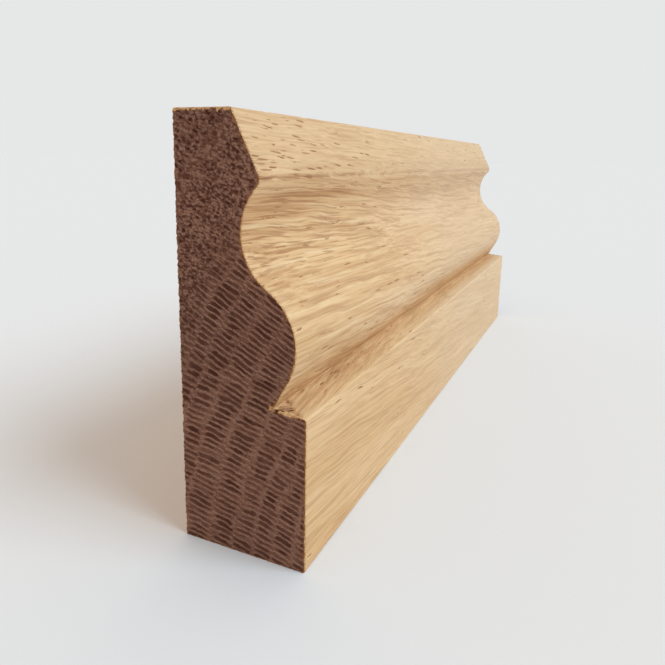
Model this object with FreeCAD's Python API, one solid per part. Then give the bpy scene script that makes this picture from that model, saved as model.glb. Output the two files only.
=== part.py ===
import FreeCAD, Part
import math
import os

# A short length of ogee skirting board, planed from one piece of oak.
# It stands on its base edge. X runs along the board, the moulded face looks to -Y,
# the flat back looks to +Y, and Z is up. The origin is the middle of the base.

# Driving dimensions, in millimetres and degrees

# The blank that the section is cut in
LENGTH = 170.0
THICKNESS = 22.0
HEIGHT = 68.0

# Bevel: slopes out from the flat top edge down to the rounded nose
TOP_SETBACK = 12.1
BEVEL_HEIGHT = 10.05
BEVEL_ANGLE = 26.0
NOSE_RADIUS = 1.6

# Hollow: the cove under the nose, upright where it is deepest
HOLLOW_DEPTH = 3.45
HOLLOW_RADIUS = 9.25

# Bulge: the round that the hollow sweeps out into, so that the two make an ogee
OGEE_PROJECTION = 8.9
OGEE_HEIGHT = 16.15
UNDERSIDE_ANGLE = 29.0

# Quirk: the sharp inner corner under the bulge, where the plain band's ledge starts
QUIRK_DROP = 9.3
LEDGE_FALL = 0.5

# The long outer edges are only just eased
ARRIS_RADIUS = 0.3


def polar(centre, radius, degrees):
    """A point of the section on a circle, with the angle counted up from the front."""
    turn = math.radians(degrees)
    return (centre[0] + radius * math.cos(turn), centre[1] + radius * math.sin(turn))


def at(x, point):
    """A section point, given as depth in front of the back and height, set in space."""
    depth, height = point
    return FreeCAD.Vector(x, THICKNESS / 2 - depth, height)


def line(x, start, end):
    return Part.LineSegment(at(x, start), at(x, end)).toShape()


def arc(x, start, middle, end):
    return Part.Arc(at(x, start), at(x, middle), at(x, end)).toShape()


def section_points():
    """The section's named points, with its nose and outer edges still sharp."""
    p = {
        "back_bottom": (0.0, 0.0),
        "front_bottom": (THICKNESS, 0.0),
        "top_back": (0.0, HEIGHT),
        "top_front": (THICKNESS - TOP_SETBACK, HEIGHT),
    }
    bevel_run = BEVEL_HEIGHT * math.tan(math.radians(BEVEL_ANGLE))
    p["nose"] = (p["top_front"][0] + bevel_run, HEIGHT - BEVEL_HEIGHT)

    # The hollow is an arc about a centre in front of it, level with its deepest point
    reach = HOLLOW_RADIUS - HOLLOW_DEPTH
    drop = math.sqrt(HOLLOW_RADIUS ** 2 - reach ** 2)
    hollow_centre = (p["nose"][0] + reach, p["nose"][1] - drop)
    p["hollow"] = polar(hollow_centre, HOLLOW_RADIUS, 180)

    # The bulge's arc is upright at its crest and tangent to the hollow where they meet
    radii = (OGEE_PROJECTION ** 2 + OGEE_HEIGHT ** 2) / (2 * OGEE_PROJECTION)
    bulge_radius = radii - HOLLOW_RADIUS
    p["crest"] = (p["hollow"][0] + OGEE_PROJECTION, p["hollow"][1] - OGEE_HEIGHT)
    bulge_centre = (p["crest"][0] - bulge_radius, p["crest"][1])
    sweep = math.degrees(math.asin(OGEE_HEIGHT / radii))
    p["ogee_middle"] = polar(bulge_centre, bulge_radius, sweep)

    # Under the crest the bulge runs out into a straight underside, down to the quirk
    p["run_out"] = polar(bulge_centre, bulge_radius, -UNDERSIDE_ANGLE)
    quirk_height = p["crest"][1] - QUIRK_DROP
    underside = p["run_out"][1] - quirk_height
    undercut = underside * math.tan(math.radians(UNDERSIDE_ANGLE))
    p["quirk"] = (p["run_out"][0] - undercut, quirk_height)
    p["ledge_front"] = (THICKNESS, quirk_height - LEDGE_FALL)
    return p


def section(x, p):
    """The closed outline of the section, from the base up the moulded face."""
    return Part.Wire([
        line(x, p["back_bottom"], p["front_bottom"]),
        line(x, p["front_bottom"], p["ledge_front"]),
        line(x, p["ledge_front"], p["quirk"]),
        line(x, p["quirk"], p["run_out"]),
        arc(x, p["run_out"], p["crest"], p["ogee_middle"]),
        arc(x, p["ogee_middle"], p["hollow"], p["nose"]),
        line(x, p["nose"], p["top_front"]),
        line(x, p["top_front"], p["top_back"]),
        line(x, p["top_back"], p["back_bottom"]),
    ])


def long_edges(board, points):
    """The edges that run from end to end through the given corners of the section."""
    middles = [at(0.0, point) for point in points]
    return [edge for edge in board.Edges
            if any(edge.CenterOfMass.isEqual(middle, 1e-4) for middle in middles)]


def skirting_board():
    p = section_points()
    end = Part.Face(section(-LENGTH / 2, p))
    board = end.extrude(FreeCAD.Vector(LENGTH, 0, 0))
    board = board.makeFillet(NOSE_RADIUS, long_edges(board, [p["nose"]]))
    outer = ["back_bottom", "front_bottom", "ledge_front", "top_front", "top_back"]
    return board.makeFillet(ARRIS_RADIUS, long_edges(board, [p[name] for name in outer]))


os.makedirs("parts", exist_ok=True)
skirting_board().exportStep("parts/skirting_board.step")
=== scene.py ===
import bpy
import math
import numpy as np
from mathutils import Matrix, Vector


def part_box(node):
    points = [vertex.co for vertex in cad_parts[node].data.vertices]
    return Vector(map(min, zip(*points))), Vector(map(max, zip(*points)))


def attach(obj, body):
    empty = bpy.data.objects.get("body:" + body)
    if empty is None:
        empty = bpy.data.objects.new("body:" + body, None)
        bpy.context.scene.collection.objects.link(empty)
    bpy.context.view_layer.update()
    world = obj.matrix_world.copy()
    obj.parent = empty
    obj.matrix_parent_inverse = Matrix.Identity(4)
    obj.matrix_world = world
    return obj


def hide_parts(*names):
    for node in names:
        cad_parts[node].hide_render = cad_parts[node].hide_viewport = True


# The dressed skirting board: one closed mesh with the grain's relief on it, a few torn
# fibres at the quirk, a pale floor, soft light and the photograph's camera.

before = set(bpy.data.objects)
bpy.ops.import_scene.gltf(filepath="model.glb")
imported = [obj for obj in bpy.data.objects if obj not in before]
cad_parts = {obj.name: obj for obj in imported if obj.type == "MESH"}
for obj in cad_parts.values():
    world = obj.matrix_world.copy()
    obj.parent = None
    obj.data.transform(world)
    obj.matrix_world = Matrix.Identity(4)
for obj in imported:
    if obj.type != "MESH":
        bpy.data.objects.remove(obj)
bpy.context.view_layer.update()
NODE = "skirting_board"
LOW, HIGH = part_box(NODE)
MM = 0.001

# The section, in millimetres: depth in front of the back face, height above the floor
THICKNESS = (HIGH[1] - LOW[1]) / MM
HEIGHT = HIGH[2] / MM
BACK = HIGH[1] / MM
LEFT, RIGHT = LOW[0] / MM, HIGH[0] / MM
TOP_SETBACK = 12.1
BEVEL_HEIGHT, BEVEL_ANGLE, NOSE_RADIUS = 10.05, 26.0, 1.6
HOLLOW_DEPTH, HOLLOW_RADIUS = 3.45, 9.25
OGEE_PROJECTION, OGEE_HEIGHT, UNDERSIDE_ANGLE = 8.9, 16.15, 29.0
QUIRK_DROP, LEDGE_FALL = 9.3, 0.5
ARRIS_RADIUS = 0.3

# The mesh: spacing of its points round the moulded face and along the board
FACE_STEP, LEDGE_STEP, ARRIS_STEP, PLAIN_STEP = 0.25, 0.2, 0.1, 1.8
NEAR_STEP, NEAR_LENGTH, STEP_GROWTH, FAR_STEP = 0.22, 5.0, 1.045, 2.4
NEAR_COLUMNS, FAR_COLUMNS = 88, 16
# The cross sections are spread to fill the board once they come this close to its far end
LAST_GAP = 1.0
# How far from the top or the base the points are that round an arris of the back
ARRIS_LEVELS = (0.0, 0.05, 0.15, ARRIS_RADIUS)
# Faces that meet at a larger angle than this, in degrees, keep a hard edge between them
SHARP_ANGLE = 35.0
# How strongly the relief on a rim goes along the board, and through it from the back
RIM_ALONG, RIM_THROUGH = 0.5, 0.7
# This close to an end, a vertex's distance from the end's outline counts too
RIM_REACH = 1.0

# The grain, in millimetres: growth rings round a centre, with rays across them
RING_CENTRE = (94.5, -11.0)
RING_START, RING_WIDTH, RING_BEAT = 79.4, 3.8, 22.8
RAY_PITCH, RAY_PIVOT = 0.94, 11.0
SPECKLED_FROM, SPECKLED_FULLY = 101.8, 106.3
# From the ledge to the bulge the fibres turn inwards, by TURN in all, most of it within
# TURN_LENGTH of the near end
TURN, TURN_LENGTH = 7.0, 50.0

# How deep the relief goes
DASH_DEPTH, PORE_DEPTH, FRAY_DEPTH, TEAR_DEPTH, CHIP_DEPTH = 0.1, 0.12, 0.22, 0.3, 0.45
SAWN_DEPTH, FLECK_DEPTH, RAY_HEIGHT, STRIPE_DEPTH = 0.02, 0.04, 0.03, 0.02

# The torn corner at the quirk, whose crevices are both carved and painted with shade: how
# strong each path is, then points on it in millimetres, given as distance from the end,
# depth, height and radius
TEARS = (
    (1.0, ((0.0, 16.9, 25.2, 0.6), (0.35, 17.1, 25.2, 0.9), (0.9, 17.5, 25.2, 0.8))),
    (1.0, ((0.9, 17.5, 25.2, 0.8), (1.3, 17.9, 25.1, 0.7))),
    (1.0, ((1.3, 17.9, 25.1, 0.7), (1.7, 18.4, 25.1, 0.9), (1.95, 18.6, 25.1, 0.7))),
    (0.55, ((4.2, 16.6, 25.3, 0.6), (3.8, 17.1, 25.2, 0.9), (3.4, 17.5, 25.2, 0.6))),
    (0.45, ((3.4, 17.5, 25.2, 0.6), (2.6, 17.9, 25.2, 0.5), (1.9, 18.5, 25.1, 0.7))),
    (0.42, ((1.6, 18.8, 25.1, 0.6), (1.3, 19.3, 25.0, 0.8), (0.9, 20.4, 24.9, 0.8))),
    (0.42, ((0.9, 20.4, 24.9, 0.8), (0.7, 20.9, 24.9, 0.4))),
)
CHIPS = (
    (1.0, ((0.0, 15.9, 25.65, 0.22), (0.0, 16.2, 25.4, 0.45), (0.0, 16.5, 25.2, 0.45))),
    (1.0, ((0.0, 17.3, 25.1, 0.15), (0.0, 18.6, 25.0, 0.4), (0.0, 20.6, 24.8, 0.15))),
)
# Splinters there, each from its root to its tip, and how wide and how far lifted it is
SPLINTERS = (
    ((2.6, 18.0, 25.1), (1.1, 16.8, 25.4), 0.26, 0.12),
    ((0.1, 16.3, 25.3), (0.8, 16.7, 25.7), 0.2, 0.05),
    ((1.6, 18.3, 25.0), (0.5, 17.9, 25.2), 0.22, 0.1),
    ((0.9, 17.2, 25.1), (0.1, 17.1, 25.5), 0.16, 0.05),
    ((1.3, 17.8, 25.0), (0.1, 18.5, 25.1), 0.18, 0.06),
    ((0.6, 16.9, 25.2), (0.05, 16.5, 25.7), 0.14, 0.02),
    ((2.2, 18.9, 25.0), (1.0, 18.4, 25.2), 0.14, 0.08),
)
SPLINTER_RINGS, SPLINTER_SIDES, SPLINTER_FLATNESS = 9, 8, 0.5
# How far from a rim, and how chipped, the wood's colour takes a splinter to be
SPLINTER_EDGE, SPLINTER_CHIP = 9.0, 0.3

# The light: colours of the room round the scene, and the soft window light
HORIZON = (0.793, 0.8, 0.802)
COOL_ROOM, WARM_ROOM = (0.58, 0.58, 0.57), (0.77, 0.61, 0.48)
# The horizon's colour gives way to the room's as a direction rises from the first of these
# to the second, where 1 is straight up
ROOM_FROM, ROOM_FULLY = 0.25, 0.6
# How much brighter the room is beyond the far end than behind the near one
ROOM_CONTRAST = 0.7
WINDOW_STRENGTH, WINDOW_COLOUR, WINDOW_ANGLE = 2.15, (0.7, 0.87, 1.0), 35.0
WINDOW_HEADING = (-0.02, 0.71, -0.7)

# The floor, which reaches so many metres each way that it looks endless
FLOOR_REACH = 30.0
FLOOR_COLOUR = (0.77, 0.765, 0.762, 1.0)

# The photograph's camera. Its place and the nearest distance it sees are in metres, its
# angles in degrees and its sensor in millimetres.
IMAGE_SIDE = 665
FOCAL_PIXELS = 593.2
CENTRE_ROW = 282
SENSOR_WIDTH = 36.0
NEAREST_SEEN = 0.005
CAMERA_PLACE = (-0.1550, -0.0467, 0.0613)
CAMERA_YAW, CAMERA_PITCH, CAMERA_ROLL = 24.58, 11.74, 1.13


def srgb(red, green, blue):
    """A colour given as it looks on screen, 0 to 255, as linear light."""
    shares = [value / 255 for value in (red, green, blue)]
    return tuple(s / 12.92 if s <= 0.04045 else ((s + 0.055) / 1.055) ** 2.4 for s in shares)


# Node arithmetic, for materials and geometry alike

class Field:
    """A number that varies from place to place in a node tree."""

    def __init__(self, tree, socket):
        self.tree = tree
        self.socket = socket

    def math(self, operation, *others):
        """The result of a math node with this field as its first value."""
        node = self.tree.nodes.new("ShaderNodeMath")
        node.operation = operation
        for socket, value in zip(node.inputs, (self, *others)):
            feed(self.tree, socket, value)
        return Field(self.tree, node.outputs[0])

    def __add__(self, other):
        return self.math("ADD", other)

    def __sub__(self, other):
        return self.math("SUBTRACT", other)

    def __mul__(self, other):
        return self.math("MULTIPLY", other)

    def __truediv__(self, other):
        return self.math("DIVIDE", other)

    def __rsub__(self, other):
        return (self * -1.0).math("ADD", other)

    def length(self, other):
        """The distance to a place that is this far one way and other across it."""
        return (self * self + other * other).math("SQRT")

    def most(self, other):
        """The larger of the two."""
        return self.math("MAXIMUM", other)

    def soft(self, start, end):
        """0 up to start and 1 from end on, or the other way round, with a soft step."""
        node = self.tree.nodes.new("ShaderNodeMapRange")
        node.interpolation_type = "SMOOTHSTEP"
        feed(self.tree, node.inputs["Value"], self)
        feed(self.tree, node.inputs["From Min"], start)
        feed(self.tree, node.inputs["From Max"], end)
        return Field(self.tree, node.outputs["Result"])

    def between(self, start, full, fade, end):
        """1 from full to fade, falling softly to 0 at start and at end."""
        return self.soft(start, full) * self.soft(end, fade)


def feed(tree, socket, value):
    """Gives a socket a number or joins it to a field."""
    if isinstance(value, Field):
        tree.links.new(value.socket, socket)
    else:
        socket.default_value = value


def point(tree, parts):
    """One vector from three numbers or fields."""
    node = tree.nodes.new("ShaderNodeCombineXYZ")
    for socket, part in zip(node.inputs, parts):
        feed(tree, socket, part)
    return node.outputs[0]


def noise(tree, place, grain, detail=1.0):
    """Smooth noise from 0 to 1, with a size of grain for each of the place's directions."""
    node = tree.nodes.new("ShaderNodeTexNoise")
    node.inputs["Scale"].default_value = 1.0
    node.inputs["Detail"].default_value = detail
    scaled = point(tree, [part / size for part, size in zip(place, grain)])
    tree.links.new(scaled, node.inputs["Vector"])
    return Field(tree, node.outputs[0])


def chance(tree, ring, ray, salt):
    """One random number from 0 to 1 for each ring and ray, and another for each salt."""
    node = tree.nodes.new("ShaderNodeTexWhiteNoise")
    node.noise_dimensions = "3D"
    tree.links.new(point(tree, (ring, ray, salt)), node.inputs["Vector"])
    return Field(tree, node.outputs["Value"])


def cells(tree, place, grain, disorder=1.0, flat=False):
    """Distance to the middle of the nearest cell, and two random numbers of that cell."""
    node = tree.nodes.new("ShaderNodeTexVoronoi")
    node.voronoi_dimensions = "2D" if flat else "3D"
    node.inputs["Scale"].default_value = 1.0
    node.inputs["Randomness"].default_value = disorder
    scaled = point(tree, [part / size for part, size in zip(place, grain)])
    tree.links.new(scaled, node.inputs["Vector"])
    split = tree.nodes.new("ShaderNodeSeparateXYZ")
    tree.links.new(node.outputs["Color"], split.inputs[0])
    return [Field(tree, s) for s in (node.outputs["Distance"], split.outputs[0], split.outputs[1])]


def board_place(tree, position):
    """Millimetres along the board, in front of its back and above the floor."""
    split = tree.nodes.new("ShaderNodeSeparateXYZ")
    tree.links.new(position, split.inputs[0])
    x, y, z = (Field(tree, socket) / MM for socket in split.outputs)
    return x, BACK - y, z


# Oak. Every length in these formulas is in millimetres. Above the floor the ledge is at 24.8
# to 25.3, the bulge's crest at 34.6, the bottom of the hollow at 50.7 and the nose at 58.

def end_grain(tree, place):
    """Dark dashes between light rays, faint ring lines, and mottling in the outer wood."""
    x, depth, height = place
    drift = noise(tree, place, (60.0, 8.0, 8.0)) - 0.5
    bend = noise(tree, place, (30.0, 3.2, 3.2)) - 0.5
    frizz = noise(tree, place, (20.0, 0.7, 0.6)) - 0.5
    fleck = noise(tree, place, (12.0, 0.3, 0.3), detail=2.0)
    patch = noise(tree, place, (30.0, 2.4, 2.4))

    # Which ring a place is in, and how far out in that ring
    radius = (RING_CENTRE[0] - depth).length(height - RING_CENTRE[1]) + drift * 2.0
    beat = ((radius - RING_START) * (math.tau / RING_BEAT)).math("SINE")
    turns = (radius - RING_START) / RING_WIDTH + frizz * 0.42 + bend * 0.3 + beat * 0.2
    ring = turns.math("FLOOR")
    inside = turns.math("FRACT")

    # Which dash it is in, counted up the end, and how far from that dash's middle line.
    # The rays drop towards the front, gently low down and more steeply from the bulge up.
    slope = height.soft(20.0, 37.0) * 0.26 - height.soft(44.0, 54.0) * 0.08 + 0.21
    slope = slope + (depth - RAY_PIVOT) * 0.004
    outward = depth * 0.93 - height * 0.37
    upward = height * 0.94 + (depth - RAY_PIVOT) * slope
    swell = noise(tree, (x, outward, upward), (25.0, 2.4, 1.2)) - 0.5
    count = upward / RAY_PITCH + chance(tree, ring, 0.0, 1.0)
    count = count + bend * 0.75 + swell * 0.35 + frizz * 0.3
    ray = count.math("FLOOR")
    across = (count.math("FRACT") - 0.5).math("ABSOLUTE")

    # Each dash has its own width, ends and darkness, and a rough outline
    wide, late, early = (chance(tree, ring, ray, salt) for salt in (2.0, 3.0, 4.0))
    start = late * 0.28 - 0.02
    end = 1.02 - early * 0.28
    taper = inside.soft(start - 0.08, start + 0.16) * inside.soft(end + 0.08, end - 0.16)
    half = (wide * 0.32 + 0.11) * taper
    strength = (wide + early) * 0.22 + height.soft(20.0, 28.0) * 0.08
    strength = strength + patch.soft(0.3, 0.7) * 0.25 + 0.34
    hair = noise(tree, (x, outward, upward + frizz * 0.3), (25.0, 1.3, 0.17))
    rough = (fleck - 0.5) * 0.62 + (hair - 0.5) * 0.35
    dash = (half - across + rough).soft(-0.12, 0.17) * taper.soft(0.0, 0.5) * strength

    # Light lines: the rays, and the bands where one ring meets the next
    line = across.soft(0.28, 0.46) * (late * 0.6 + 0.4) * fleck.soft(0.25, 0.55)
    band = inside.soft(0.16, 0.0).most(inside.soft(0.84, 1.0)) * fleck.soft(0.3, 0.65)
    band = band * patch.soft(0.38, 0.62) * (0.62 - height.soft(22.0, 34.0) * 0.42)
    line = line.most(band)

    # The outer wood has blots in place of dashes, drawn out to streaks at the top corner
    fanned = (x, outward + frizz * 0.7, upward + frizz * 0.5)
    off, size, lot = cells(tree, fanned, (25.0, 0.95, 0.65), disorder=0.65)
    blot = (size * 0.2 + 0.26 - off + (fleck - 0.5) * 0.5).soft(-0.12, 0.14) * lot.soft(0.1, 0.7)
    slanted_out = depth * 0.8 - height * 0.6 + frizz * 0.5
    slanted_up = depth * 0.6 + height * 0.8 + frizz * 0.4
    slanted = (slanted_out, slanted_up, x)
    off, size, lot = cells(tree, slanted, (1.35, 0.85, 1.0), disorder=0.85, flat=True)
    streak = size * 0.18 + 0.27 - off + (fleck - 0.5) * 0.35
    streak = streak.soft(-0.12, 0.16) * lot.soft(-0.5, 0.5)
    corner = (height - depth + bend * 8.0).soft(53.0, 59.0)
    mottle = noise(tree, fanned, (25.0, 0.62, 0.36))
    blot = blot + (streak - blot) * corner
    blot = blot.most(mottle.soft(0.48, 0.68) * (0.85 - corner * 0.5))
    between_blots = mottle.soft(0.52, 0.34) * fleck.soft(0.25, 0.6) * 0.75
    speckled = (radius + bend * 3.0 + frizz * 2.0).soft(SPECKLED_FROM, SPECKLED_FULLY)
    dark = dash + (blot - dash) * speckled
    light = line + (between_blots - line) * speckled
    return dark, light, fleck, hair


def face_grain(tree, place):
    """Stripes, fibres and pores, all drawn out along the board."""
    x, depth, height = place
    along = x - LEFT
    near_end = along.soft(30.0, 12.0)
    wave = noise(tree, place, (45.0, 14.0, 14.0)) - 0.5
    sway = noise(tree, place, (12.0, 3.6, 3.6)) - 0.5
    crowd = noise(tree, place, (12.0, 1.6, 1.6))
    bevel = height.soft(57.8, 59.5) * depth.soft(5.0, 9.0)

    # The fibres fall along the board, most on the front below the ledge, least on the bevel.
    # From the ledge to the bulge they also turn inwards.
    lower_front = depth.math("GREATER_THAN", THICKNESS - ARRIS_RADIUS * 0.8)
    fall = lower_front * 0.04 - bevel * 0.03 + 0.07
    turned = (1.0 - lower_front) * depth.soft(8.0, 13.0) * height.soft(35.0, 27.0)
    turn = turned * (1.0 - (along / -TURN_LENGTH).math("EXPONENT")) * TURN
    flow = (x, depth + turn + wave * 2.0, height + along * fall + wave * 3.0 + sway * 1.3)
    broad = noise(tree, flow, (70.0, 3.4, 3.4), detail=2.0)
    stripe = noise(tree, flow, (28.0, 0.85, 0.85))
    line = noise(tree, flow, (16.0, 0.36, 0.36))
    fibre = noise(tree, flow, (4.0, 0.16, 0.16), detail=2.0)

    # Pores, in the share of the cells that suits the place
    falling = (x, flow[1], flow[2] + bevel * along * 0.08)
    off, size, lot = cells(tree, falling, (4.0, 0.42, 0.42))
    wanted = crowd.soft(0.52, 0.7) * (height.soft(23.0, 28.0) * 0.15 + 0.05)
    wanted = wanted + height.between(24.0, 25.0, 26.0, 29.0) * near_end * 0.12
    wanted = wanted + bevel * crowd.soft(0.32, 0.55) * (near_end * 0.48 + 0.06)
    wanted = wanted * (1.0 - along.soft(30.0, 110.0) * 0.5)
    pore = (off + (fibre - 0.5) * 0.35).soft(0.47, 0.3)
    pore = pore * lot.math("LESS_THAN", wanted) * (size * 0.4 + 0.6)

    # Rows of small pores, like dotted lines, in the moulding near the end
    off, size, lot = cells(tree, flow, (9.0, 0.4, 0.4))
    bead = noise(tree, flow, (0.9, 0.3, 0.3)) - 0.5
    wanted = height.between(30.0, 34.0, 58.0, 59.0) * near_end * crowd.soft(0.4, 0.6) * 0.17
    row = (off + bead * 0.7).soft(0.38, 0.24) * lot.math("LESS_THAN", wanted)
    pore = pore.most(row * (size * 0.3 + 0.5))
    return broad, stripe, line, fibre, pore, bevel


def mix(tree, share, first, second):
    """The first colour where share is 0 and the second where it is 1."""
    node = tree.nodes.new("ShaderNodeMix")
    node.data_type = "RGBA"
    feed(tree, node.inputs[0], share)
    for socket, colour in ((node.inputs[6], first), (node.inputs[7], second)):
        if isinstance(colour, tuple):
            socket.default_value = (*colour, 1.0)
        else:
            tree.links.new(colour, socket)
    return node.outputs[2]


def tinted(tree, tone, *tints):
    """A tone with tints laid over it in turn, each a share and a colour as it looks on screen."""
    for share, colour in tints:
        tone = mix(tree, share, tone, srgb(*colour))
    return tone


def new_material(name):
    """A new material, its node tree and shader, and the place on the board in that tree."""
    material = bpy.data.materials.new(name)
    material.use_nodes = True
    tree = material.node_tree
    shader = tree.nodes["Principled BSDF"]
    place = board_place(tree, tree.nodes.new("ShaderNodeTexCoord").outputs["Object"])
    return material, tree, shader, place


def attribute(tree, name):
    """A number that the mesh's vertices carry."""
    node = tree.nodes.new("ShaderNodeAttribute")
    node.attribute_name = name
    return Field(tree, node.outputs["Fac"])


def bump(tree, shader, height, strength, distance):
    """Fine relief that only changes the shading, up to a distance in millimetres deep."""
    node = tree.nodes.new("ShaderNodeBump")
    node.inputs["Strength"].default_value = strength
    node.inputs["Distance"].default_value = distance * MM
    feed(tree, node.inputs["Height"], height)
    tree.links.new(node.outputs[0], shader.inputs["Normal"])


def shade_in_tear(tree, place, tone, shade):
    """Paints shade into the tear's crevice: darkens a tone there, in uneven blots."""
    blotch = noise(tree, place, (0.6, 0.4, 0.4)) - 0.5
    deep = attribute(tree, "tear") + blotch * 0.9
    return tinted(tree, tone, (deep.soft(0.26, 0.7) * 0.92, shade))


def end_material():
    """Sawn end grain, paler where the rims and chips are broken, with a painted highlight at the
    top edge.
    """
    material, tree, shader, place = new_material("oak_end_grain")
    height = place[2]
    dark, light, fleck, hair = end_grain(tree, place)
    ragged = noise(tree, place, (1.5, 0.5, 0.5), detail=2.0) - 0.5
    middle = height.between(22.0, 34.0, 40.0, 46.0)
    rim = (attribute(tree, "edge") - ragged).soft(0.42, 0.12)
    # Painted highlight along the top edge of the end
    top = (height + ragged * 1.4).soft(HEIGHT - 0.36, HEIGHT - 0.2)
    chip = attribute(tree, "chip")
    broken = (chip + ragged * 0.8).soft(0.15, 0.45) * chip.soft(0.0, 0.05)
    tone = mix(tree, fleck.soft(0.25, 0.75), srgb(107, 69, 53), srgb(130, 90, 72))
    tone = tinted(
        tree,
        tone,
        (hair.soft(0.5, 0.7) * 0.36, (80, 44, 32)),
        (middle * 0.25, (72, 38, 27)),
        (hair.soft(0.5, 0.3) * 0.32, (160, 122, 102)),
        (dark * 0.96, (68, 32, 19)),
        (light * 0.72, (170, 131, 110)),
        (rim * 0.85, (150, 94, 50)),
        # Painted highlight on the top edge
        (top * 0.9, (220, 168, 114)),
        (broken, (218, 168, 112)),
    )
    # The tear's crevice gets painted shade
    tree.links.new(shade_in_tear(tree, place, tone, (62, 31, 19)), shader.inputs["Base Color"])
    shader.inputs["Roughness"].default_value = 0.8
    shader.inputs["Specular IOR Level"].default_value = 0.15
    bump(tree, shader, light * 0.4 - dark * 0.6 + fleck * 0.5 - hair * 0.4, 0.5, 0.12)
    return material


def face_material():
    """Planed oak, for the moulded face, the back, the top and the base."""
    material, tree, shader, place = new_material("oak_planed_face")
    x, depth, height = place
    along = x - LEFT
    broad, stripe, line, fibre, pore, bevel = face_grain(tree, place)
    near_end = along.soft(50.0, 15.0) * 0.6 + 0.4
    far = along.soft(30.0, 110.0)
    moulded = depth.soft(9.0, 11.0)
    plain = height.soft(28.0, 23.0)

    # Stretches that are darker or lighter than the rest, from the top down: the bevel's
    # skirt, the nose and the dark seam on it, painted light on the fold and soffit below the
    # nose, the brow of the hollow, a painted sheen on the bulge's belly, painted shade in the
    # quirk and, drawn as darker stripes, on the ledge's shelf, painted light on its lip, and
    # the foot
    ragged = height + (fibre - 0.5) * 1.2
    skirt = height.between(58.0, 58.6, 59.8, 62.2) * moulded * along.soft(4.0, 16.0)
    nose = height.between(51.0, 55.0, 58.7, 59.3) * near_end * moulded
    seam = ragged.between(58.1, 58.4, 58.6, 58.9) * near_end * moulded
    seam = seam * (line.soft(0.4, 0.6) * 0.4 + 0.6)
    # Painted light: the underside of the nose faces down and is made paler, here and in the soffit
    fold_light = height.between(55.4, 56.4, 57.2, 58.0)
    soffit_light = height.between(53.5, 56.0, 57.4, 58.2) * along.soft(25.0, 60.0)
    brow = height.between(48.5, 51.5, 52.5, 55.0) * along.soft(26.0, 14.0)
    # Painted sheen on the bulge's belly
    belly_sheen = height.between(26.0, 29.0, 33.0, 37.0) * along.between(24.0, 36.0, 56.0, 80.0)
    # Painted shade in the quirk under the bulge
    quirk = height.between(25.3, 25.6, 26.0, 29.0) * depth.soft(15.0, 16.0)
    # Painted shade on the back of the ledge towards the quirk, drawn through the stripes
    shelf_shade = height.between(24.5, 24.7, 25.4, 25.8) * depth.soft(21.5, 17.5) * near_end
    # Painted light on the front of the ledge, more of it towards the far end
    lip = height.between(24.3, 24.6, 25.1, 25.4) * depth.soft(18.0, 21.0)
    foot = height.soft(21.0, 16.0) * along.soft(28.0, 8.0)
    tone = mix(tree, broad.soft(0.3, 0.7), srgb(220, 182, 136), srgb(213, 172, 124))
    tone = tinted(
        tree,
        tone,
        (bevel * 0.6, (212, 178, 136)),
        (nose * 0.2, (180, 128, 82)),
        (brow * moulded * 0.18, (180, 128, 82)),
        # Painted light under the nose
        (fold_light.most(soffit_light) * moulded * 0.4, (255, 225, 180)),
        # Painted light on the ledge's front
        (lip * (far * 0.18 + 0.1), (236, 214, 176)),
        # Painted shade in the quirk
        (quirk * (0.5 - broad * 0.5), (172, 120, 76)),
        (seam * 0.9, (128, 78, 44)),
        (skirt * 0.24, (170, 130, 90)),
        (foot * 0.15, (190, 140, 84)),
        # Painted shade on the ledge's shelf, in its darker stripes
        (shelf_shade * stripe.soft(0.3, 0.6) * 0.38, (160, 106, 66)),
        # Painted sheen on the belly
        (belly_sheen * 0.12, (255, 235, 210)),
    )

    # The grain, which is fainter towards the far end, the paler tone there, and last the
    # rims, painted shade round the tear, and the chips
    clear = 1.0 - far * 0.3
    hollow = height.between(43.0, 46.0, 55.0, 58.0) * near_end
    # The stripes are also darker in the quirk, as painted shade
    darker = (0.42 - plain * 0.2 - bevel * 0.28 + quirk * 0.2 + hollow * 0.12) * clear
    lighter = (0.45 - plain * 0.25 - bevel * 0.3 + hollow * 0.15) * clear
    # The quirk's painted shade is kept out of the paler tone
    nook = height.between(24.9, 25.1, 28.0, 33.0) * depth.soft(14.0, 16.0)
    faded = far * (1.0 - nook) * (0.2 - bevel * 0.1)
    rim = attribute(tree, "edge").soft(0.5, 0.0) * fibre.soft(0.35, 0.6)
    tone = tinted(
        tree,
        tone,
        (stripe.soft(0.47, 0.68) * darker, (172, 124, 78)),
        (stripe.soft(0.45, 0.3) * lighter, (228, 200, 156)),
        (line.soft(0.48, 0.64) * (hollow * 0.38 + 0.3) * clear, (158, 108, 66)),
        (fibre.soft(0.5, 0.75) * 0.3, (164, 118, 76)),
        (fibre.soft(0.45, 0.25) * 0.25, (228, 202, 160)),
        (pore * 0.85, (138, 82, 40)),
        (faded, (220, 206, 186)),
        (rim * 0.8, (146, 92, 46)),
        # Painted shade round the tear
        (attribute(tree, "tear").soft(0.0, 0.35) * 0.45, (178, 122, 78)),
        (attribute(tree, "chip").soft(0.1, 0.6) * 0.7, (226, 184, 130)),
    )
    # Painted shade in the tear's crevice
    tree.links.new(shade_in_tear(tree, place, tone, (104, 60, 36)), shader.inputs["Base Color"])
    shader.inputs["Roughness"].default_value = 0.6
    shader.inputs["Specular IOR Level"].default_value = 0.25
    bump(tree, shader, stripe * -0.4 - line * 0.3 - fibre * 0.3 - pore, 0.35, 0.08)
    return material


# The section's outline

def polar(centre, radius, degrees):
    """The place at a distance and in a direction from a centre."""
    turn = math.radians(degrees)
    return np.array((centre[0] + radius * math.cos(turn), centre[1] + radius * math.sin(turn)))


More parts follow.
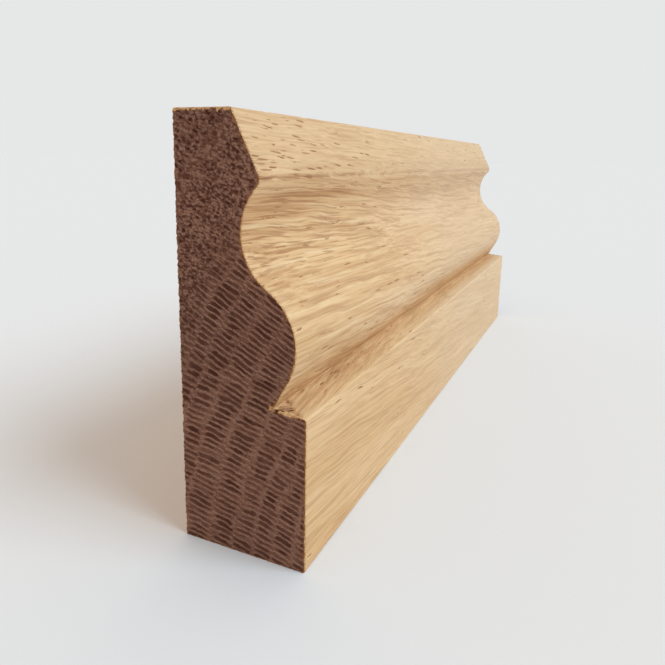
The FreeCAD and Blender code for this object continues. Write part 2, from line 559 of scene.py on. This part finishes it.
def arc(centre, radius, start, end, step):
    """Points on an arc, without its first one."""
    count = max(2, round(abs(math.radians(end - start)) * radius / step))
    return [polar(centre, radius, start + (end - start) * i / count) for i in range(1, count + 1)]


def straight(start, end, step):
    """Points on a straight run, without its first one."""
    start, end = np.array(start), np.array(end)
    count = max(1, round(np.linalg.norm(end - start) / step))
    return [start + (end - start) * i / count for i in range(1, count + 1)]


def angle(centre, place):
    """The direction of a place from a centre, in degrees."""
    return math.degrees(math.atan2(place[1] - centre[1], place[0] - centre[0]))


def eased(before, corner, after, radius, step):
    """Where a run towards a corner stops short, and the small arc round the corner."""
    corner = np.array(corner)
    ways = [np.array(other) - corner for other in (before, after)]
    ways = [way / np.linalg.norm(way) for way in ways]
    half = math.acos(np.clip(ways[0] @ ways[1], -1, 1)) / 2
    first = corner + ways[0] * radius / math.tan(half)
    middle = (ways[0] + ways[1]) / np.linalg.norm(ways[0] + ways[1])
    centre = corner + middle * radius / math.sin(half)
    last = corner + ways[1] * radius / math.tan(half)
    start, end = angle(centre, first), angle(centre, last)
    end = start + (end - start + 180) % 360 - 180
    return first, arc(centre, radius, start, end, step)


def moulded_face():
    """The outline from the front of the base up to the top edge, arrises included."""
    top = np.array((THICKNESS - TOP_SETBACK, HEIGHT))
    down = np.array((math.sin(math.radians(BEVEL_ANGLE)), -math.cos(math.radians(BEVEL_ANGLE))))
    nose = top + down * BEVEL_HEIGHT / -down[1]
    reach = HOLLOW_RADIUS - HOLLOW_DEPTH
    hollow_centre = nose + (reach, -math.sqrt(HOLLOW_RADIUS ** 2 - reach ** 2))
    radii = (OGEE_PROJECTION ** 2 + OGEE_HEIGHT ** 2) / (2 * OGEE_PROJECTION)
    bulge_radius = radii - HOLLOW_RADIUS
    bulge_centre = hollow_centre + (OGEE_PROJECTION - radii, -OGEE_HEIGHT)
    sweep = math.degrees(math.asin(OGEE_HEIGHT / radii))

    # The nose's round touches the bevel on its inside and the hollow's circle from outside
    inward = np.array((down[1], -down[0]))
    gap = nose + inward * NOSE_RADIUS - hollow_centre
    slide = gap @ down
    slide = -slide - math.sqrt(slide ** 2 - gap @ gap + (HOLLOW_RADIUS + NOSE_RADIUS) ** 2)
    nose_centre = nose + inward * NOSE_RADIUS + down * slide
    hollow_end = angle(hollow_centre, nose_centre) % 360
    nose_start = hollow_end - 180

    run_out = polar(bulge_centre, bulge_radius, -UNDERSIDE_ANGLE)
    quirk_height = bulge_centre[1] - QUIRK_DROP
    slope = math.tan(math.radians(UNDERSIDE_ANGLE))
    quirk = (run_out[0] - (run_out[1] - quirk_height) * slope, quirk_height)
    ledge = (THICKNESS, quirk_height - LEDGE_FALL)

    foot, foot_arc = eased((0, 0), (THICKNESS, 0), ledge, ARRIS_RADIUS, ARRIS_STEP)
    lip, lip_arc = eased((THICKNESS, 0), ledge, quirk, ARRIS_RADIUS, ARRIS_STEP)
    brow, brow_arc = eased(nose, top, (0, HEIGHT), ARRIS_RADIUS, ARRIS_STEP)
    points = [foot, *foot_arc]
    points += [*straight(points[-1], lip, FACE_STEP), *lip_arc]
    points += straight(points[-1], quirk, LEDGE_STEP)
    points += straight(quirk, run_out, LEDGE_STEP)
    points += arc(bulge_centre, bulge_radius, -UNDERSIDE_ANGLE, sweep, FACE_STEP)
    points += arc(hollow_centre, HOLLOW_RADIUS, 180 + sweep, hollow_end, FACE_STEP)
    points += arc(nose_centre, NOSE_RADIUS, nose_start, BEVEL_ANGLE, FACE_STEP)
    points += [*straight(points[-1], brow, FACE_STEP), *brow_arc]
    return np.array(points)


def back_depth(height):
    """The back outline's depth, which leaves the back face only at its two arrises."""
    into = np.maximum(ARRIS_RADIUS - np.minimum(height, HEIGHT - height), 0)
    return ARRIS_RADIUS - np.sqrt(ARRIS_RADIUS ** 2 - np.minimum(into, ARRIS_RADIUS) ** 2)


def stations():
    """Where the mesh has its cross sections along the board, fine near the left end."""
    places, step = [LEFT], NEAR_STEP
    while places[-1] < RIGHT - LAST_GAP:
        if places[-1] > LEFT + NEAR_LENGTH:
            step = min(step * STEP_GROWTH, FAR_STEP)
        places.append(places[-1] + step)
    scale = (RIGHT - LEFT) / (places[-1] - LEFT)
    return LEFT + (np.array(places) - LEFT) * scale


# The board's mesh

class Shell:
    """Vertices and faces of the board, in millimetres along, in front of the back and up."""

    def __init__(self):
        self.places = []
        self.inward = []
        self.parts = []
        self.faces = []
        self.ends = []

    def row(self, x, points, inward, part):
        """Adds the vertices of an outline at one place along the board."""
        first = len(self.places)
        self.places += [(x, depth, height) for depth, height in points]
        self.inward += [tuple(way) for way in np.broadcast_to(inward, (len(points), 3))]
        self.parts += [part] * len(points)
        return list(range(first, len(self.places)))

    def grid(self, rows, flip, is_end=False):
        """Four-sided faces between rows of equally many vertices."""
        for lower, upper in zip(rows, rows[1:]):
            for i in range(len(lower) - 1):
                face = (lower[i], lower[i + 1], upper[i + 1], upper[i])
                self.faces.append(face[::-1] if flip else face)
                self.ends.append(is_end)

    def bridge(self, one, other, flip):
        """Triangles between two rows that follow the same path with other spacings."""
        far = [self.travel(row) for row in (one, other)]
        i = j = 0
        while i < len(one) - 1 or j < len(other) - 1:
            if j == len(other) - 1 or (i < len(one) - 1 and far[0][i + 1] <= far[1][j + 1]):
                face = (one[i], one[i + 1], other[j])
                i += 1
            else:
                face = (one[i], other[j + 1], other[j])
                j += 1
            self.faces.append(face[::-1] if flip else face)
            self.ends.append(False)

    def travel(self, row):
        """How far along a row each of its vertices is, from 0 to 1."""
        points = np.array([self.places[i][1:] for i in row])
        steps = np.linalg.norm(np.diff(points, axis=0), axis=1)
        return np.concatenate(([0.0], np.cumsum(steps))) / steps.sum()


def into_wood(points):
    """The direction into the wood at each point of an outline that runs with it on the left."""
    along = np.gradient(points, axis=0)
    inward = np.column_stack((np.zeros(len(points)), -along[:, 1], along[:, 0]))
    return inward / np.linalg.norm(inward, axis=1)[:, None]


def board_mesh():
    """The whole closed shell of the board, and the outline of its section."""
    shell = Shell()
    front = moulded_face()
    back = np.column_stack((back_depth(front[:, 1]), front[:, 1]))
    along = stations()
    front_inward = into_wood(front)

    def cap(x, columns, way):
        """An end as rows of points from back to front, one row for each point of the face."""
        shares = np.linspace(0, 1, columns + 1)[:, None]
        rows = []
        for behind, ahead in zip(back, front):
            points = behind + (ahead - behind) * shares
            rows.append(shell.row(x, points, (way, 0, 0), "end"))
        rims = (
            (rows[0], (way * RIM_ALONG, 0, 1)),
            (rows[-1], (way * RIM_ALONG, 0, -1)),
            ([row[0] for row in rows[1:-1]], (way * RIM_ALONG, RIM_THROUGH, 0)),
        )
        for rim, inward in rims:
            for corner in rim:
                shell.parts[corner] = "rim"
                shell.inward[corner] = inward
        for row, inward in zip(rows, front_inward):
            shell.parts[row[-1]] = "rim"
            shell.inward[row[-1]] = tuple(inward + (way * RIM_ALONG, 0, 0))
        return rows

    caps = [cap(along[0], NEAR_COLUMNS, 1), cap(along[-1], FAR_COLUMNS, -1)]
    shell.grid(caps[0], flip=True, is_end=True)
    shell.grid(caps[1], flip=False, is_end=True)

    # The moulded face runs from cap to cap
    columns = [[row[-1] for row in caps[0]]]
    columns += [shell.row(x, front, front_inward, "face") for x in along[1:-1]]
    columns.append([row[-1] for row in caps[1]])
    shell.grid(columns, flip=False)

    # Top, back and base are plainer
    levels = np.array(ARRIS_LEVELS)
    middle = np.linspace(ARRIS_RADIUS, HEIGHT - ARRIS_RADIUS, round(HEIGHT / PLAIN_STEP))[1:-1]
    heights = np.concatenate((levels, middle, HEIGHT - levels[::-1]))[::-1]
    top = [front[-1], *straight(front[-1], back[-1], PLAIN_STEP)]
    rear = np.column_stack((back_depth(heights), heights))
    base = [back[0], *straight(back[0], front[0], PLAIN_STEP)]
    loops = []
    for x, column in zip(along[1:-1], columns[1:-1]):
        over = [column[-1], *shell.row(x, top[1:-1], (0, 0, -1), "plain")]
        down = shell.row(x, rear, (0, 1, 0), "plain")
        under = [*shell.row(x, base[1:-1], (0, 0, 1), "plain"), column[0]]
        loops.append((over + down[:1], down, down[-1:] + under))
    for side in zip(*loops):
        shell.grid(side, flip=False)
    for rows, loop, flip in ((caps[0], loops[0], True), (caps[1], loops[-1], False)):
        rims = (rows[-1][::-1], [row[0] for row in rows[::-1]], rows[0])
        for rim, side in zip(rims, loop):
            shell.bridge(rim, side, flip)
    return shell, np.vstack((front, rear, base))


def closeness(places, paths):
    """A path's strength on its line, falling to 0 at its radius, for the strongest path."""
    spots = places - (LEFT, 0, 0)
    nearest = np.zeros(len(places))
    for strength, path in paths:
        for start, end in zip(path, path[1:]):
            start, end = np.array(start), np.array(end)
            leg = end[:3] - start[:3]
            share = np.clip((spots - start[:3]) @ leg / (leg @ leg), 0, 1)
            off = np.linalg.norm(spots - start[:3] - share[:, None] * leg, axis=1)
            radius = start[3] + share * (end[3] - start[3])
            nearest = np.maximum(nearest, strength * (1 - off / radius))
    return nearest


def new_piece(name, places, faces):
    """A smooth object from points in millimetres along, in front of the back and up."""
    mesh = bpy.data.meshes.new(name)
    metres = np.column_stack((places[:, 0], BACK - places[:, 1], places[:, 2])) * MM
    mesh.from_pydata(metres.tolist(), [], faces)
    mesh.polygons.foreach_set("use_smooth", [True] * len(faces))
    piece = bpy.data.objects.new(name, mesh)
    bpy.context.collection.objects.link(piece)
    return piece


def set_attribute(mesh, name, kind, values):
    """Gives each vertex of a mesh a value of its own under a name."""
    layer = mesh.attributes.new(name, kind, "POINT")
    layer.data.foreach_set("vector" if kind == "FLOAT_VECTOR" else "value", np.ravel(values))


def build_board():
    """The board itself, with both materials and the attributes that its relief needs."""
    shell, outline = board_mesh()
    places = np.array(shell.places)
    parts = np.array(shell.parts)
    board = new_piece("oak_board", places, shell.faces)
    mesh = board.data
    mesh.materials.append(face_material())
    mesh.materials.append(end_material())
    mesh.polygons.foreach_set("material_index", [int(end) for end in shell.ends])
    mesh.set_sharp_from_angle(angle=math.radians(SHARP_ANGLE))

    # How far each vertex is from the rim of its end, and which way its relief goes in
    edge = np.minimum(places[:, 0] - LEFT, RIGHT - places[:, 0])
    close = edge < RIM_REACH
    gaps = [np.hypot(*(outline - spot).T).min() for spot in places[close][:, 1:]]
    edge[close] = np.hypot(edge[close], gaps)
    inward = np.array(shell.inward, dtype=float) * (1, -1, 1)
    inward /= np.linalg.norm(inward, axis=1)[:, None]
    set_attribute(mesh, "edge", "FLOAT", edge)
    set_attribute(mesh, "tear", "FLOAT", closeness(places, TEARS))
    set_attribute(mesh, "chip", "FLOAT", closeness(places, CHIPS))
    set_attribute(mesh, "inward", "FLOAT_VECTOR", inward)
    for part in ("end", "face", "rim"):
        set_attribute(mesh, part, "FLOAT", (parts == part).astype(float))
    carve(board)
    return board


def splinter_places(root, tip, width, lift):
    """Rings of points round a fibre that bows up, swells a little and tapers to its tip."""
    root, tip = np.array(root), np.array(tip)
    way = (tip - root) / np.linalg.norm(tip - root)
    side = np.cross(way, (0, 0, 1))
    side /= np.linalg.norm(side)
    places = []
    for i in range(SPLINTER_RINGS):
        share = i / (SPLINTER_RINGS - 1)
        middle = root + (tip - root) * share + (0, 0, lift * math.sin(math.pi * share * 0.8))
        taper = 1 - abs(2 * share - 0.7) ** 3 * 0.42
        waviness = 0.85 + 0.15 * math.cos(17 * share)
        half = width / 2 * taper * waviness
        for corner in range(SPLINTER_SIDES):
            turn = math.tau * corner / SPLINTER_SIDES
            rise = half * SPLINTER_FLATNESS * math.sin(turn)
            places.append(middle + side * half * math.cos(turn) + (0, 0, rise))
    return places


def build_splinters(material):
    """Thin fibres that the cutter left standing in the quirk."""
    places, faces = [], []
    for splinter in SPLINTERS:
        first = len(places)
        places += splinter_places(*splinter)
        rings = np.arange(first, len(places)).reshape(SPLINTER_RINGS, SPLINTER_SIDES).tolist()
        for lower, upper in zip(rings, rings[1:]):
            for i in range(SPLINTER_SIDES):
                j = (i + 1) % SPLINTER_SIDES
                faces.append((lower[i], upper[i], upper[j], lower[j]))
        faces += [rings[0], rings[-1][::-1]]
    fibres = new_piece("torn_fibres", np.array(places) + (LEFT, 0, 0), faces)
    fibres.data.materials.append(material)
    set_attribute(fibres.data, "edge", "FLOAT", [SPLINTER_EDGE] * len(places))
    set_attribute(fibres.data, "chip", "FLOAT", [SPLINTER_CHIP] * len(places))
    return fibres


def carve(board):
    """Sinks the dashes, pores and tear into the mesh and frays the rims of the ends."""
    tree = bpy.data.node_groups.new("grain_relief", "GeometryNodeTree")
    for way in ("INPUT", "OUTPUT"):
        tree.interface.new_socket("Geometry", in_out=way, socket_type="NodeSocketGeometry")
    entry = tree.nodes.new("NodeGroupInput")
    leave = tree.nodes.new("NodeGroupOutput")
    move = tree.nodes.new("GeometryNodeSetPosition")

    def named(name, kind="FLOAT"):
        node = tree.nodes.new("GeometryNodeInputNamedAttribute")
        node.data_type = kind
        node.inputs["Name"].default_value = name
        return Field(tree, node.outputs["Attribute"])

    place = board_place(tree, tree.nodes.new("GeometryNodeInputPosition").outputs[0])
    dark, light, fleck, _ = end_grain(tree, place)
    _, stripe, _, _, pore, _ = face_grain(tree, place)
    tooth = noise(tree, place, (0.6, 0.45, 0.45)).soft(0.35, 0.7)
    sawn = dark * DASH_DEPTH + fleck * FLECK_DEPTH - light * RAY_HEIGHT + SAWN_DEPTH
    planed = pore * PORE_DEPTH + stripe.soft(0.4, 0.7) * STRIPE_DEPTH
    depth = named("end") * sawn + named("face") * planed
    depth = depth + named("rim") * (tooth * FRAY_DEPTH) + named("tear") * TEAR_DEPTH
    depth = depth + named("chip") * CHIP_DEPTH
    scale = tree.nodes.new("ShaderNodeVectorMath")
    scale.operation = "SCALE"
    feed(tree, scale.inputs["Vector"], named("inward", "FLOAT_VECTOR"))
    feed(tree, scale.inputs["Scale"], depth.most(0.0) * MM)
    tree.links.new(scale.outputs["Vector"], move.inputs["Offset"])
    tree.links.new(entry.outputs[0], move.inputs["Geometry"])
    tree.links.new(move.outputs["Geometry"], leave.inputs[0])
    board.modifiers.new("grain_relief", "NODES").node_group = tree


# Floor, light and camera

def build_floor():
    mesh = bpy.data.meshes.new("floor")
    corners = [(-1, -1, 0), (1, -1, 0), (1, 1, 0), (-1, 1, 0)]
    mesh.from_pydata([Vector(corner) * FLOOR_REACH for corner in corners], [], [(0, 1, 2, 3)])
    material = bpy.data.materials.new("pale_floor")
    material.use_nodes = True
    shader = material.node_tree.nodes["Principled BSDF"]
    shader.inputs["Base Color"].default_value = FLOOR_COLOUR
    shader.inputs["Roughness"].default_value = 0.9
    shader.inputs["Specular IOR Level"].default_value = 0.0
    mesh.materials.append(material)
    floor = bpy.data.objects.new("floor", mesh)
    bpy.context.collection.objects.link(floor)


def build_light():
    """A cool window in front of the board, in a room that is warmer behind the board.

    Overhead the room grows brighter beyond the far end. The horizon is one even colour.
    """
    world = bpy.data.worlds.new("room")
    bpy.context.scene.world = world
    world.use_nodes = True
    tree = world.node_tree
    split = tree.nodes.new("ShaderNodeSeparateXYZ")
    tree.links.new(tree.nodes.new("ShaderNodeTexCoord").outputs["Generated"], split.inputs[0])
    ahead, back, up = (Field(tree, socket) for socket in split.outputs)
    overhead = up.soft(ROOM_FROM, ROOM_FULLY)
    room = mix(tree, back.soft(-0.7, 0.7), COOL_ROOM, WARM_ROOM)
    room = mix(tree, overhead, HORIZON, room)
    brightness = (ahead.soft(-0.8, 0.8) - 0.5) * overhead * ROOM_CONTRAST + 1.0
    shader = tree.nodes["Background"]
    tree.links.new(room, shader.inputs["Color"])
    feed(tree, shader.inputs["Strength"], brightness)
    sun = bpy.data.lights.new("window", "SUN")
    sun.energy = WINDOW_STRENGTH
    sun.angle = math.radians(WINDOW_ANGLE)
    sun.color = WINDOW_COLOUR
    lamp = bpy.data.objects.new("window", sun)
    lamp.rotation_euler = Vector(WINDOW_HEADING).to_track_quat("-Z", "Y").to_euler()
    bpy.context.collection.objects.link(lamp)


def build_camera():
    data = bpy.data.cameras.new("camera")
    data.sensor_width = SENSOR_WIDTH
    data.lens = FOCAL_PIXELS / IMAGE_SIDE * SENSOR_WIDTH
    data.shift_y = (CENTRE_ROW - IMAGE_SIDE / 2) / IMAGE_SIDE
    data.clip_start = NEAREST_SEEN
    camera = bpy.data.objects.new("camera", data)
    yaw, pitch = math.radians(CAMERA_YAW), math.radians(CAMERA_PITCH)
    level = math.cos(pitch)
    ahead = Vector((math.cos(yaw) * level, math.sin(yaw) * level, -math.sin(pitch)))
    roll = Matrix.Rotation(math.radians(CAMERA_ROLL), 3, "Z")
    turn = ahead.to_track_quat("-Z", "Y").to_matrix() @ roll
    camera.matrix_world = Matrix.Translation(CAMERA_PLACE) @ turn.to_4x4()
    bpy.context.collection.objects.link(camera)
    bpy.context.scene.camera = camera


board = build_board()
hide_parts(NODE)
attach(board, "root")
fibres = build_splinters(board.data.materials[0])
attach(fibres, "root")
build_floor()
build_light()
build_camera()
bpy.context.scene.view_settings.view_transform = "Standard"

bpy.context.view_layer.update()
